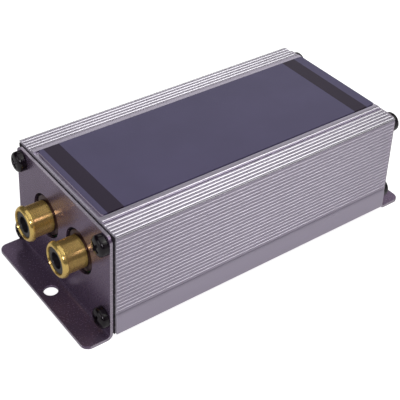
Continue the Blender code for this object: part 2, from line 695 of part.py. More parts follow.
def winding_mesh():
    """The wound coil between the bobbin's flanges, as a ring about local Z."""
    inner_y = CENTRE_LEG / 2 + SLIDE_GAP + BOBBIN_WALL + SLIDE_GAP
    inner_z = CORE_STACK / 2 + SLIDE_GAP + BOBBIN_WALL + SLIDE_GAP
    outer_y = WINDOW_OUTER - BORE_GAP - WINDING_INSET
    outer_z = BOBBIN_HALF_HEIGHT - WINDING_INSET
    rim = rounded_box((-outer_y, -outer_z), (outer_y, outer_z), WINDING_CORNER, 5)
    bore = rounded_box((-inner_y, -inner_z), (inner_y, inner_z), EDGE_ROUND, 1)
    length = 2 * (WINDOW_HALF_LENGTH - BORE_GAP - BOBBIN_FLANGE - SLIDE_GAP)
    return smooth(outline_mesh([rim, bore], length))


def pin_mesh():
    """A round wire pin along local Z, its top end at height 0."""
    work = bmesh.new()
    length = PIN_SEAT + CORE_CENTRE - BOBBIN_HALF_HEIGHT - SLOT_HEIGHT - SLIDE_GAP + PIN_PROTRUSION
    add_rod(work, PIN_RADIUS, -length, 0, 8)
    return smooth(mesh_from(work))


def build_transformers(looks):
    """One transformer for each channel, left and right as seen from the input end."""
    core, bobbin, winding, pin = core_mesh(), bobbin_mesh(), winding_mesh(), pin_mesh()
    height = BODY_LIFT + CORE_CENTRE
    for channel, hand in ((-1, "right"), (1, "left")):
        spot = (0, channel * CORE_Y, height)
        place(f"transformer_core_{hand}", core, looks["core"], None, spot)
        place(f"transformer_bobbin_{hand}", bobbin, looks["bobbin"], None, spot)
        turn = (math.pi / 2, 0, math.pi / 2)
        place(f"transformer_winding_{hand}", winding, looks["copper"], None, spot, turn)
        for number, (x, y) in enumerate(pin_spots(channel), 1):
            top = height - BOBBIN_HALF_HEIGHT + PIN_SEAT
            place(f"transformer_pin_{hand}_{number}", pin, looks["tin"], None, (x, y, top))


def main():
    clear_scene()
    looks = make_materials()
    build_tube(looks)
    build_label(looks)
    meshes = {
        "gasket": gasket_mesh(), "plate": folded_sheet(), "plate_holes": plate_cutter(),
        "screw": screw_mesh(), "shell": shell_mesh(), "insert": insert_mesh(),
        "contact": contact_mesh(), "housing": housing_mesh(),
    }
    build_end(looks, "input", -1, meshes)
    build_end(looks, "output", 1, meshes)
    build_board(looks)
    build_transformers(looks)


main()
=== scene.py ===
"""Looks of the ground loop isolator: finishes, finer small pieces, lights and camera."""
import json
import math

import bmesh
import bpy
from mathutils import Matrix, Vector

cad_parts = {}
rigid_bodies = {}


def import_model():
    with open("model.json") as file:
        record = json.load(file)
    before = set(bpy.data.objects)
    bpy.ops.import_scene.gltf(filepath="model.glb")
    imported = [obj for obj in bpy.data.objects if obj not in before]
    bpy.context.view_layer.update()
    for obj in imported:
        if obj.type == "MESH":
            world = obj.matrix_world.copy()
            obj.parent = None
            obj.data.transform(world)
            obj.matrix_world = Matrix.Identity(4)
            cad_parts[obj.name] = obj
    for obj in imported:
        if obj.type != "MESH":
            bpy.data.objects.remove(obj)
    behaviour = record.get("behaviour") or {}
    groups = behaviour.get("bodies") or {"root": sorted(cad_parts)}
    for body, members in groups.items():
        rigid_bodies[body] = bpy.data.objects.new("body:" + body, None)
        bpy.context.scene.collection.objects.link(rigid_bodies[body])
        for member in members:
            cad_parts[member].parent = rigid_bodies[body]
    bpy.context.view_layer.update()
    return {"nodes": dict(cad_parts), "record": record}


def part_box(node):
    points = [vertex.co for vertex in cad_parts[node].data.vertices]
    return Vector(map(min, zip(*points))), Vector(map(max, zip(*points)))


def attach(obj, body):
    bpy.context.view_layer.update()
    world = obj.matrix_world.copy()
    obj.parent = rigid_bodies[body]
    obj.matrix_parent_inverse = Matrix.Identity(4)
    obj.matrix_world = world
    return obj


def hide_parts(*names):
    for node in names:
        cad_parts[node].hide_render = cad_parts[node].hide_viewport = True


for leftover in list(bpy.data.objects):
    bpy.data.objects.remove(leftover, do_unlink=True)

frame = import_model()

MM = 0.001

# Camera fitted to the photograph's straight edges
CAMERA_PLACE = (-0.14336, -0.17862, 0.18613)
CAMERA_AZIMUTH = -37.676
CAMERA_ELEVATION = 30.340
CAMERA_ROLL = 2.590
CAMERA_LENS = 94.553
CAMERA_SHIFT = (0.0019, -0.3478)
CAMERA_CLIP = 0.01
SENSOR_WIDTH = 36.0

ENDS = ("input", "output")
HANDS = ("left", "right")

# Jack pieces, with lengths measured back from the lip's front
TURN_STEPS = 96
LIP_RADIUS = 4.68 * MM
LIP_MOUTH = 3.58 * MM
LIP_FACE_RADIUS = 3.88 * MM
LIP_NOSE = 1.1 * MM
LIP_SEGMENTS = 8
LIP_LENGTH = 1.45 * MM
BARREL_RADIUS = 4.2 * MM
BORE_RADIUS = 3.6 * MM
COLLAR_RADIUS = 5.4 * MM
COLLAR_BACK = 7.1 * MM
COLLAR_THICKNESS = 0.65 * MM
COLLAR_FILLET = 0.25 * MM
INSERT_RADIUS = 3.5 * MM
SOCKET_RADIUS = 2.1 * MM
SMALL_ROUND = 0.12 * MM

# Painted shade: gold darkens in the plate's hole, between these depths behind the lip's front
RECESS_SHADE_ABOVE = 6.5 * MM
RECESS_SHADE_BELOW = 6.8 * MM
RECESS_SHADE_COLOUR = (0.07, 0.03, 0.025)

# Screws
SCREW_STEPS = 64
SHANK_RADIUS = 1.35 * MM
HEAD_RADIUS = 2.72 * MM
HEAD_HEIGHT = 2.28 * MM
HEAD_RIM = 1.15 * MM
HEAD_FULLNESS = 0.6
HEAD_STEPS = 12
CROSS_SPAN = 3.0 * MM
CROSS_WIDTH = 0.8 * MM
CROSS_DEPTH = 1.3 * MM
CROSS_FLARE = 1.5
CROSS_PINCH = 0.7
CROSS_TIP = 0.8
CROSS_TURNS = (12, 71, 38, 55)
THREAD_PITCH = 1.1 * MM
THREAD_HEIGHT = 0.2 * MM
THREAD_STEPS = 8
THREAD_SHARPNESS = 3.2
THREAD_START = 8
TIP_TAPER = 5
TIP_SIZE = 0.4

# Gaskets
GASKET_SQUEEZE = 0.12 * MM
GASKET_SINK = 0.17 * MM
GASKET_JACK_HOLE = 6.05 * MM
GASKET_SCREW_HOLE = 1.6 * MM
GASKET_HOLE_STEPS = 48
RIPPLE_STEP = 0.25 * MM
RIPPLE_HEIGHT = 0.09 * MM
RIPPLE_LONG = 0.41 * MM
RIPPLE_SHORT = 0.23 * MM
RIPPLE_PHASE = 900
RIPPLE_EASE = 4

# Printed bands across the label, as distances along X from the label's own ends
BAND_START = 1.5 * MM
BAND_END = 6.0 * MM
OUTPUT_BAND_START = 2.95 * MM
OUTPUT_BAND_END = 7.35 * MM
BAND_COLOUR = (0.034, 0.022, 0.046)
BARE_EDGE = 0.1 * MM

# The tube's raised borders stand lower in the photograph than in the CAD
BORDER_ABOVE = 31.95 * MM
BORDER_DROP = 0.45 * MM

# Paler colour along the outer edges of the end plates' sheet
PALE_EDGE_WIDTH = 0.14 * MM
PALE_EDGE_COLOUR = (0.5, 0.44, 0.53)

# Painted shade: a darker colour on the tube's sides and down in the grooves of its shoulders
GROOVE_TOP = 31.31 * MM
GROOVE_DEPTH = 0.36 * MM
SHOULDER_ABOVE = 31.2 * MM
GROOVE_SHADE_COLOUR = (0.17, 0.16, 0.185)
SIDE_SHADE_COLOUR = (0.52, 0.465, 0.58)

# The tube's sawn ends, less like a mirror than its anodised faces
SAWN_SKIN = 0.04 * MM
SAWN_COLOUR = (0.72, 0.68, 0.78)
SAWN_METALLIC = 0.3
ANODISED_METALLIC = 0.95

# Shading and softening of edges, with angles in degrees
WELD_DISTANCE = 0.0005 * MM
TURNED_SHARP_ANGLE = 32
PACKED_SHARP_ANGLE = 35
SOFT_EDGE = 0.12 * MM
SOFT_SEGMENTS = 2
SOFT_ANGLE = 50

# Floor and lights, where a lamp is its name, place, size, power and colour
FLOOR_SIZE = 6.0
FLOOR_TONE = 0.6
FLOOR_LIFT = 0.85
REFLECTED_LIFT = 0.13
WORLD_LEVEL = 0.003
LAMP_TARGET = (0, 0, 0.015)
LAMPS = (
    ("top", (0.0, 0.0, 1.0), (1.2, 1.2), 3.28, (1, 1, 1)),
    ("key", (0.53, -0.09, 0.84), (0.4, 0.4), 1.06, (1.0, 1.07, 0.94)),
    ("high_right", (0.5, -0.4, 0.75), (0.4, 0.4), 1.45, (1.0, 1.07, 0.94)),
    ("front_right", (0.45, -0.55, 0.7), (0.5, 0.5), 0.86, (1.0, 1.04, 0.96)),
    ("low_front", (0.6, -0.8, 0.25), (0.8, 0.4), 0.26, (1.0, 0.94, 1.03)),
    ("back", (0.50, 0.64, 0.47), (0.6, 0.4), 0.60, (1, 1, 1)),
    ("left", (-0.95, 0.1, 0.35), (0.6, 0.5), 1.2, (1, 1, 1)),
    ("left_front", (-0.53, -0.66, 0.57), (0.2, 0.2), 2.4, (1.0, 0.94, 1.03)),
)

SLOT_OF = {row["node"]: row["material_slot"] for row in frame["record"]["subparts"]}
FINISH_OF_SLOT = {
    "satin_aluminium": "aluminium",
    "label_film": "label",
    "black_rubber": "rubber",
    "plate_paint": "plate",
    "screw_steel": "screw",
    "gold_plating": "gold",
    "black_plastic": "plastic",
    "brass_contact": "brass",
    "green_board": "board",
    "lamination_steel": "core",
    "bobbin_nylon": "bobbin",
    "enamelled_copper": "copper",
    "tinned_wire": "tin",
}


# The colour sockets of a Mix node, which share their names with its other sockets
MIX_FIRST, MIX_SECOND, MIX_RESULT = 6, 7, 2
NOISE_ROUGHNESS = 0.55


class Nodes:
    """A material's node tree with short ways to add and link its nodes."""

    def __init__(self, name, colour, roughness, metallic=0.0):
        self.material = bpy.data.materials.new(name)
        self.material.use_nodes = True
        self.tree = self.material.node_tree
        self.shader = self.tree.nodes["Principled BSDF"]
        self.colour = colour
        self.shader.inputs["Base Color"].default_value = (*colour, 1)
        self.shader.inputs["Roughness"].default_value = roughness
        self.shader.inputs["Metallic"].default_value = metallic
        self.normal = None

    def add(self, kind, **settings):
        node = self.tree.nodes.new(kind)
        for key, value in settings.items():
            setattr(node, key, value)
        return node

    def link(self, source, target):
        self.tree.links.new(source, target)

    def place(self, scale=(1, 1, 1)):
        """Object coordinates, stretched by the given scale."""
        coordinates = self.add("ShaderNodeTexCoord")
        mapping = self.add("ShaderNodeMapping")
        mapping.inputs["Scale"].default_value = scale
        self.link(coordinates.outputs["Object"], mapping.inputs["Vector"])
        return mapping.outputs["Vector"]

    def axes(self):
        """The three object coordinates."""
        split = self.add("ShaderNodeSeparateXYZ")
        self.link(self.place(), split.inputs["Vector"])
        return [split.outputs[axis] for axis in "XYZ"]

    def noise(self, size, stretch=(1, 1, 1), detail=3.0):
        """Noise whose features are about the given size, in metres."""
        node = self.add("ShaderNodeTexNoise")
        node.inputs["Scale"].default_value = 1 / size
        node.inputs["Detail"].default_value = detail
        node.inputs["Roughness"].default_value = NOISE_ROUGHNESS
        self.link(self.place(stretch), node.inputs["Vector"])
        return node.outputs["Fac"]

    def spread(self, value, low, high, start=0.3, end=0.7):
        """Map a value's middle range onto low to high."""
        node = self.add("ShaderNodeMapRange")
        numbers = {"From Min": start, "From Max": end, "To Min": low, "To Max": high}
        for key, number in numbers.items():
            node.inputs[key].default_value = number
        self.link(value, node.inputs["Value"])
        return node.outputs["Result"]

    def math(self, operation, first, second):
        """A Math node on two values, each a socket or a number."""
        node = self.add("ShaderNodeMath", operation=operation)
        for socket, value in zip(node.inputs, (first, second)):
            if isinstance(value, (int, float)):
                socket.default_value = value
            else:
                self.link(value, socket)
        return node.outputs["Value"]

    def mix(self, factor, first, second):
        """A colour mix, each colour a socket or three numbers."""
        node = self.add("ShaderNodeMix", data_type="RGBA")
        self.link(factor, node.inputs["Factor"])
        for index, value in ((MIX_FIRST, first), (MIX_SECOND, second)):
            if isinstance(value, tuple):
                node.inputs[index].default_value = (*value, 1)
            else:
                self.link(value, node.inputs[index])
        return node.outputs[MIX_RESULT]

    def shades(self, factor, spread):
        """The base colour, made up to spread darker and lighter by a factor from 0 to 1."""
        dark = tuple(c * (1 - spread) for c in self.colour)
        light = tuple(min(1.0, c * (1 + spread)) for c in self.colour)
        return self.mix(factor, dark, light)

    def set_colour(self, socket):
        self.link(socket, self.shader.inputs["Base Color"])

    def set_roughness(self, socket):
        self.link(socket, self.shader.inputs["Roughness"])

    def bump(self, height, distance):
        """Add a bump of the given height, in metres, over any earlier one."""
        node = self.add("ShaderNodeBump")
        node.inputs["Distance"].default_value = distance
        node.inputs["Strength"].default_value = 1.0
        self.link(height, node.inputs["Height"])
        if self.normal is not None:
            self.link(self.normal, node.inputs["Normal"])
        self.normal = node.outputs["Normal"]
        self.link(self.normal, self.shader.inputs["Normal"])


def aluminium():
    """Satin anodised aluminium with faint die lines along the tube, matt sawn ends, and painted
    shade on its sides and in its shoulders' grooves.
    """
    nodes = Nodes("anodised_aluminium", (0.622, 0.57, 0.68), 0.28, ANODISED_METALLIC)
    lines = nodes.noise(0.35 * MM, (0.012, 1, 1), 4)
    clouds = nodes.noise(9 * MM, detail=2)
    tone = nodes.math("MULTIPLY", lines, clouds)
    field = nodes.shades(nodes.spread(tone, 0, 1, 0.12, 0.4), 0.04)
    x, _, z = nodes.axes()
    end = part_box("enclosure_extrusion")[1].x - SAWN_SKIN
    sawn = nodes.math("GREATER_THAN", nodes.math("ABSOLUTE", x, 0), end)
    # Painted shade: darker down in the shoulders' grooves and over the sides below the shoulders
    groove_shade = nodes.spread(z, 1, 0, GROOVE_TOP, GROOVE_TOP + GROOVE_DEPTH)
    groove_shaded = nodes.mix(groove_shade, field, GROOVE_SHADE_COLOUR)
    side_shaded = nodes.mix(nodes.math("LESS_THAN", z, SHOULDER_ABOVE), groove_shaded, SIDE_SHADE_COLOUR)
    nodes.set_colour(nodes.mix(sawn, side_shaded, SAWN_COLOUR))
    metallic = nodes.spread(sawn, ANODISED_METALLIC, SAWN_METALLIC, 0, 1)
    nodes.link(metallic, nodes.shader.inputs["Metallic"])
    nodes.set_roughness(nodes.spread(lines, 0.27, 0.33))
    nodes.bump(lines, 0.002 * MM)
    nodes.bump(nodes.noise(0.08 * MM, detail=2), 0.001 * MM)
    return nodes.material


def plate_paint():
    """Semi-gloss grey-violet paint on the end plates, pale along the sheet's cut edges."""
    nodes = Nodes("plate_paint", (0.213, 0.153, 0.243), 0.26, 0.62)
    clouds = nodes.noise(6 * MM, detail=3)
    field = nodes.shades(nodes.spread(clouds, 0, 1), 0.06)
    low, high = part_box("input_end_plate")
    x, y, z = nodes.axes()
    # Paler colour along the sheet's outer edges
    reach = nodes.math("SUBTRACT", nodes.math("ABSOLUTE", x, 0), -low.x - PALE_EDGE_WIDTH)
    width = nodes.math("SUBTRACT", nodes.math("ABSOLUTE", y, 0), high.y - PALE_EDGE_WIDTH)
    rise = nodes.math("SUBTRACT", z, high.z - PALE_EDGE_WIDTH)
    edge = nodes.math("MAXIMUM", nodes.math("MAXIMUM", reach, width), rise)
    nodes.set_colour(nodes.mix(nodes.spread(edge, 0, 1, 0, PALE_EDGE_WIDTH / 2), field, PALE_EDGE_COLOUR))
    peel = nodes.noise(0.35 * MM, detail=2)
    nodes.set_roughness(nodes.spread(peel, 0.25, 0.28))
    nodes.bump(peel, 0.001 * MM)
    return nodes.material


def label_film():
    """Grey-violet print with a darker band across each end, over a pale bare sheet."""
    nodes = Nodes("label_film", (0.104, 0.089, 0.177), 0.34, 0.0)
    nodes.shader.inputs["Specular IOR Level"].default_value = 0.28
    low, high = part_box("label_plate")
    x, y, z = nodes.axes()
    in_first = nodes.math("MULTIPLY",
                          nodes.math("GREATER_THAN", x, low.x + BAND_START),
                          nodes.math("LESS_THAN", x, low.x + BAND_END))
    in_second = nodes.math("MULTIPLY",
                           nodes.math("LESS_THAN", x, high.x - OUTPUT_BAND_START),
                           nodes.math("GREATER_THAN", x, high.x - OUTPUT_BAND_END))
    bands = nodes.math("MAXIMUM", in_first, in_second)
    clouds = nodes.noise(12 * MM, detail=2)
    field = nodes.shades(nodes.spread(clouds, 0, 1), 0.05)
    printed = nodes.mix(bands, field, BAND_COLOUR)
    bare = nodes.math("MULTIPLY",
                      nodes.math("LESS_THAN", z, high.z - BARE_EDGE),
                      nodes.math("LESS_THAN", nodes.math("ABSOLUTE", y, 0), high.y - BARE_EDGE))
    nodes.set_colour(nodes.mix(bare, printed, PALE_EDGE_COLOUR))
    grain = nodes.noise(0.12 * MM, detail=2)
    nodes.set_roughness(nodes.spread(grain, 0.3, 0.4))
    nodes.bump(grain, 0.0015 * MM)
    return nodes.material


def gold_plating():
    """Polished gold, turned about local Z, with painted shade where it sits in the plate's hole."""
    nodes = Nodes("gold_plating", (1.0, 0.69, 0.22), 0.3, 0.8)
    nodes.shader.inputs["Anisotropic"].default_value = 0.9
    nodes.shader.inputs["Anisotropic Rotation"].default_value = 0.25
    tangent = nodes.add("ShaderNodeTangent", direction_type="RADIAL", axis="Z")
    nodes.link(tangent.outputs["Tangent"], nodes.shader.inputs["Tangent"])
    # Painted shade: dark colour deep in the plate's hole, behind the plate's front
    recess_shade = nodes.spread(nodes.axes()[2], 1, 0, -RECESS_SHADE_BELOW, -RECESS_SHADE_ABOVE)
    mottle = nodes.noise(2 * MM, detail=3)
    nodes.set_colour(nodes.mix(recess_shade, nodes.shades(nodes.spread(mottle, 0, 1), 0.05), RECESS_SHADE_COLOUR))
    polish = nodes.noise(0.04 * MM, detail=0)
    nodes.set_roughness(nodes.spread(polish, 0.07, 0.4, 0.43, 0.53))
    return nodes.material


def plain(name, colour, roughness, metallic=0.0, size=1.0 * MM, spread=0.08, height=0.003 * MM):
    """A finish with slight mottling of its colour, roughness and surface."""
    nodes = Nodes(name, colour, roughness, metallic)
    mottle = nodes.noise(size, detail=3)
    nodes.set_colour(nodes.shades(nodes.spread(mottle, 0, 1), spread))
    nodes.set_roughness(nodes.spread(mottle, roughness * 0.85, roughness * 1.15))
    nodes.bump(nodes.noise(size / 4, detail=2), height)
    return nodes.material


def striped(name, colour, roughness, metallic, pitch, axis, depth):
    """A finish ruled with fine lines, such as laminations or wound wire."""
    nodes = Nodes(name, colour, roughness, metallic)
    wave = nodes.add("ShaderNodeTexWave", bands_direction=axis)
    wave.inputs["Scale"].default_value = math.tau / (20 * pitch)
    wave.inputs["Distortion"].default_value = 0.0
    nodes.link(nodes.place(), wave.inputs["Vector"])
    nodes.set_colour(nodes.shades(wave.outputs["Fac"], 0.35))
    nodes.set_roughness(nodes.spread(nodes.noise(2 * MM), roughness * 0.8, roughness * 1.2))
    nodes.bump(wave.outputs["Fac"], depth)
    return nodes.material


def finishes():
    """Every finish that the pieces use."""
    return {
        "aluminium": aluminium(),
        "label": label_film(),
        "plate": plate_paint(),
        "rubber": plain("black_rubber", (0.014, 0.010, 0.015), 0.75,
                        size=0.5 * MM, height=0.01 * MM),
        "screw": plain("black_screw", (0.010, 0.006, 0.010), 0.22, 0.2, size=0.6 * MM, spread=0.2),
        "gold": gold_plating(),
        "plastic": plain("black_plastic", (0.016, 0.014, 0.018), 0.36, size=0.8 * MM, spread=0.15),
        "brass": plain("gold_flash", (0.72, 0.50, 0.22), 0.3, 1.0, size=0.8 * MM),
        "board": plain("solder_mask", (0.015, 0.10, 0.04), 0.4, size=3 * MM, spread=0.2),
        "core": striped("laminations", (0.2, 0.2, 0.21), 0.45, 0.9, 0.5 * MM, "Z", 0.05 * MM),
        "bobbin": plain("natural_nylon", (0.6, 0.57, 0.5), 0.45, size=1.5 * MM, spread=0.06),
        "copper": striped("winding_wire", (0.45, 0.14, 0.05), 0.3, 0.85, 0.2 * MM, "X", 0.04 * MM),
        "tin": plain("tinned_wire", (0.62, 0.62, 0.6), 0.3, 1.0, size=0.5 * MM),
    }


def turned(name, profile, steps):
    """A turned solid about local Z, from a closed profile of (radius, height)."""
    work = bmesh.new()
    corners = [work.verts.new((radius, 0, height)) for radius, height in profile]
    for first, second in zip(corners, corners[1:] + corners[:1]):
        work.edges.new((first, second))
    bmesh.ops.spin(
        work, geom=work.verts[:] + work.edges[:], axis=(0, 0, 1), cent=(0, 0, 0),
        angle=math.tau, steps=steps, use_merge=True, use_duplicate=False,
    )
    bmesh.ops.remove_doubles(work, verts=work.verts, dist=WELD_DISTANCE)
    bmesh.ops.recalc_face_normals(work, faces=work.faces)
    mesh = bpy.data.meshes.new(name)
    work.to_mesh(mesh)
    work.free()
    mesh.shade_smooth()
    mesh.set_sharp_from_angle(angle=math.radians(TURNED_SHARP_ANGLE))
    return mesh


def finer_piece(node, mesh, material, location=(0, 0, 0), turn=Matrix.Identity(4)):
    """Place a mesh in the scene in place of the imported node."""
    if not mesh.materials:
        mesh.materials.append(material)
    made = bpy.data.objects.new(f"{node}_fine", mesh)
    made.matrix_world = Matrix.Translation(location) @ turn
    bpy.context.scene.collection.objects.link(made)
    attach(made, "root")
    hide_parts(node)


def arc(centre, radius, start, end, segments):
    """Points along a circular arc, its angles in degrees."""
    angles = [math.radians(start + (end - start) * i / segments) for i in range(segments + 1)]
    return [(centre[0] + radius * math.cos(a), centre[1] + radius * math.sin(a)) for a in angles]


def outward(end):
    """Turn that points local Z out of an end."""
    return Matrix.Rotation(math.pi / 2 if end == "output" else -math.pi / 2, 4, "Y")


def end_face(node, end):
    """The middle of a node's outer end, and the node's length along X."""
    low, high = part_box(node)
    x = high.x if end == "output" else low.x
    return Vector((x, (low.y + high.y) / 2, (low.z + high.z) / 2)), high.x - low.x


def shell_profile(length):
    """The shell's section, with height 0 at the lip's front and the tail below."""
    profile = [(LIP_MOUTH, -2 * SMALL_ROUND)]
    profile += [(LIP_MOUTH + SMALL_ROUND, 0), (LIP_FACE_RADIUS, 0)]
    for step in range(1, LIP_SEGMENTS + 1):
        angle = math.pi / 2 * (1 - step / LIP_SEGMENTS)
        radius = LIP_FACE_RADIUS + (LIP_RADIUS - LIP_FACE_RADIUS) * math.cos(angle)
        profile.append((radius, LIP_NOSE * (math.sin(angle) - 1)))
    rise = LIP_RADIUS - BARREL_RADIUS
    profile += arc((LIP_RADIUS - rise / 2, rise / 2 - LIP_LENGTH), rise / 2, 0, -90, 5)
    profile += arc((BARREL_RADIUS + rise / 4, -LIP_LENGTH - rise / 4), rise / 4, 90, 180, 3)
    fillet = (BARREL_RADIUS + COLLAR_FILLET, COLLAR_FILLET - COLLAR_BACK)
    profile += arc(fillet, COLLAR_FILLET, 180, 270, 4)
    rim = COLLAR_RADIUS - SMALL_ROUND
    profile += arc((rim, -COLLAR_BACK - SMALL_ROUND), SMALL_ROUND, 90, 0, 3)
    profile += [(COLLAR_RADIUS, -COLLAR_BACK - COLLAR_THICKNESS)]
    profile += [(BARREL_RADIUS, -COLLAR_BACK - COLLAR_THICKNESS), (BARREL_RADIUS, -length)]
    profile += [(BORE_RADIUS, -length), (BORE_RADIUS, -2 * LIP_NOSE)]
    return profile


def insert_profile(length):
    """The insert's section, with height 0 at its front."""
    round_off = 2 * SMALL_ROUND
    profile = arc((INSERT_RADIUS - round_off, -round_off), round_off, 90, 0, 4)
    profile += [(INSERT_RADIUS, -length), (SOCKET_RADIUS, -length)]
    profile += arc((SOCKET_RADIUS + round_off, -round_off), round_off, 180, 90, 4)
    return profile


def jacks(looks):
    """Finer turned shells and inserts in place of the plain ones, for every jack."""
    meshes = {}
    for end in ENDS:
        for hand in HANDS:
            for part, profile, look, slot in (
                ("shell", shell_profile, "gold", "gold_plating"),
                ("insert", insert_profile, "plastic", "black_plastic"),
            ):
                node = f"{end}_jack_{part}_{hand}"
                face, length = end_face(node, end)
                if part not in meshes:
                    meshes[part] = turned(node, profile(length), TURN_STEPS)
                finer_piece(node, meshes[part], looks[look], face, outward(end))


def ring_solid(name, rings):
    """A closed solid from rings with the same number of points, capped at both ends."""
    work = bmesh.new()
    loops = [[work.verts.new(point) for point in ring] for ring in rings]
    for upper, lower in zip(loops, loops[1:]):
        count = len(upper)
        for i in range(count):
            j = (i + 1) % count
            work.faces.new((upper[i], upper[j], lower[j], lower[i]))
    work.faces.new(loops[0])
    work.faces.new(loops[-1])
    bmesh.ops.recalc_face_normals(work, faces=work.faces)
    mesh = bpy.data.meshes.new(name)
    work.to_mesh(mesh)
    work.free()
    return mesh


def ring(height, radius, lead=0.0):
    """One ring of a screw; lead is the height of the thread's ridge on it."""
    points = []
    for step in range(SCREW_STEPS):
        turn = step / SCREW_STEPS
        phase = (height / THREAD_PITCH - turn) % 1
        reach = radius + lead * max(0.0, 1 - abs(phase - 0.5) * THREAD_SHARPNESS)
        angle = turn * math.tau
        points.append((reach * math.cos(angle), reach * math.sin(angle), height))
    return points


def screw_mesh(length, degrees):
    """A domed screw along local Z with a turned cross recess and a thread, its top at height 0."""
    crown = HEAD_HEIGHT - HEAD_RIM
    shank = length - HEAD_HEIGHT
    rings = []
    for step in range(1, HEAD_STEPS + 1):
        angle = math.pi / 2 * step / HEAD_STEPS
        radius = HEAD_RADIUS * math.sin(angle) ** HEAD_FULLNESS
        rings.append(ring(-crown * (1 - math.cos(angle)), radius))
    rings.append(ring(SMALL_ROUND - HEAD_HEIGHT, HEAD_RADIUS))
    rings.append(ring(-HEAD_HEIGHT, HEAD_RADIUS - SMALL_ROUND))
    rings.append(ring(-HEAD_HEIGHT, SHANK_RADIUS))
    count = round(shank / THREAD_PITCH * THREAD_STEPS)
    for step in range(1, count + 1):
        share = step / count
        taper = min(1.0, (1 - share) * TIP_TAPER + TIP_SIZE)
        lead = THREAD_HEIGHT * min(1.0, share * THREAD_START) * taper
        rings.append(ring(-HEAD_HEIGHT - shank * share, SHANK_RADIUS * taper, lead))
    mesh = ring_solid("screw", rings)
    body = bpy.data.objects.new("screw_work", mesh)
    cutter = bpy.data.objects.new("cross_work", cross_mesh())
    cutter.rotation_euler = (0, 0, math.radians(degrees))
    for obj in (body, cutter):
        bpy.context.scene.collection.objects.link(obj)
    cut = body.modifiers.new("cross", "BOOLEAN")
    cut.object = cutter
    cut.solver = "EXACT"
    bpy.context.view_layer.update()
    graph = bpy.context.evaluated_depsgraph_get()
    made = bpy.data.meshes.new_from_object(body.evaluated_get(graph))
    for obj in (body, cutter):
        bpy.data.objects.remove(obj)
    made.shade_smooth()
    made.set_sharp_from_angle(angle=math.radians(TURNED_SHARP_ANGLE))
    return made


def cross_mesh():
    """The cross recess: two tapered bars that meet, wide at the top and narrow at the bottom."""
    half = CROSS_WIDTH / 2
    outlines = []
    for height, long, wide in (
        (CROSS_DEPTH, CROSS_SPAN / 2 + CROSS_WIDTH, half * CROSS_FLARE),
        (-CROSS_DEPTH, CROSS_SPAN / 4, half * CROSS_PINCH),
    ):
        tip = wide * CROSS_TIP
        outline = []
        for quarter in range(4):
            turn = Matrix.Rotation(quarter * math.pi / 2, 3, "Z")
            for x, y in ((wide, wide), (tip, long), (-tip, long)):
                outline.append(turn @ Vector((x, y, height)))
        outlines.append(outline)
    return ring_solid("cross", outlines)


def screw_nodes(end):
    """The names of an end's four screws."""
    return [f"{end}_screw_{level}_{hand}" for level in ("lower", "upper") for hand in HANDS]


def screws(looks):
    """Threaded screws with a true cross recess in place of the plain ones."""
    for end in ENDS:
        for node, degrees in zip(screw_nodes(end), CROSS_TURNS):
            face, length = end_face(node, end)
            mesh = screw_mesh(length, degrees)
            finer_piece(node, mesh, looks["screw"], face, outward(end))


def gasket_outline(low, high):
    """The gasket's outer edge, a rectangle that ripples slightly, as (y, z) points."""
    corners = [(high.y, low.z), (high.y, high.z), (low.y, high.z), (low.y, low.z)]
    points = []
    for (y, z), (next_y, next_z) in zip(corners, corners[1:] + corners[:1]):
        length = math.hypot(next_y - y, next_z - z)
        count = round(length / RIPPLE_STEP)
        for i in range(count):
            along = length * i / count
            wave = math.sin(along / RIPPLE_LONG) + math.sin(along / RIPPLE_SHORT + y * RIPPLE_PHASE)
            ease = min(1.0, i / RIPPLE_EASE, (count - i) / RIPPLE_EASE)
            inset = RIPPLE_HEIGHT * ease * (wave - 2) / 2
            way_y, way_z = (next_y - y) / length, (next_z - z) / length
            points.append((y + way_y * along + way_z * inset, z + way_z * along - way_y * inset))
    return points


def gaskets(looks):
    """Soft seals with a rippled edge, pressed in a little, in place of the plain ones."""
    for end in ENDS:
        node = f"{end}_gasket"
        low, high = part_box(node)
        low = Vector((low.x, low.y + GASKET_SQUEEZE, low.z))
        high = Vector((high.x, high.y - GASKET_SQUEEZE, high.z - GASKET_SINK))
        work = bmesh.new()
        loops = [gasket_outline(low, high)]
        rounds = [(f"{end}_jack_shell_{hand}", GASKET_JACK_HOLE) for hand in HANDS]
        rounds += [(screw, GASKET_SCREW_HOLE) for screw in screw_nodes(end)]
        for through, radius in rounds:
            centre = end_face(through, end)[0]
            loops.append(arc((centre.y, centre.z), radius, 0, 360, GASKET_HOLE_STEPS)[:-1])
        for loop in loops:
            corners = [work.verts.new((low.x, y, z)) for y, z in loop]
            for first, second in zip(corners, corners[1:] + corners[:1]):
                work.edges.new((first, second))
        bmesh.ops.triangle_fill(work, use_beauty=True, edges=work.edges[:])
        made = bmesh.ops.extrude_face_region(work, geom=work.faces[:])
        moved = [item for item in made["geom"] if isinstance(item, bmesh.types.BMVert)]
        bmesh.ops.translate(work, verts=moved, vec=(high.x - low.x, 0, 0))
        bmesh.ops.recalc_face_normals(work, faces=work.faces)
        mesh = bpy.data.meshes.new(node)
        work.to_mesh(mesh)
        work.free()
        finer_piece(node, mesh, looks["rubber"])


def geometry_group(name):
    """A geometry node group, with its nodes, its links and its two end nodes."""
    group = bpy.data.node_groups.new(name, "GeometryNodeTree")
    for way in ("INPUT", "OUTPUT"):
        group.interface.new_socket("Geometry", in_out=way, socket_type="NodeSocketGeometry")
    start, end = group.nodes.new("NodeGroupInput"), group.nodes.new("NodeGroupOutput")
    return group, group.nodes, group.links, start, end


def more_than(nodes, limit):
    """A Compare node that tells whether its value is more than a limit."""
    compare = nodes.new("FunctionNodeCompare")
    compare.data_type = "FLOAT"
    compare.operation = "GREATER_THAN"
    compare.inputs["B"].default_value = limit
    return compare


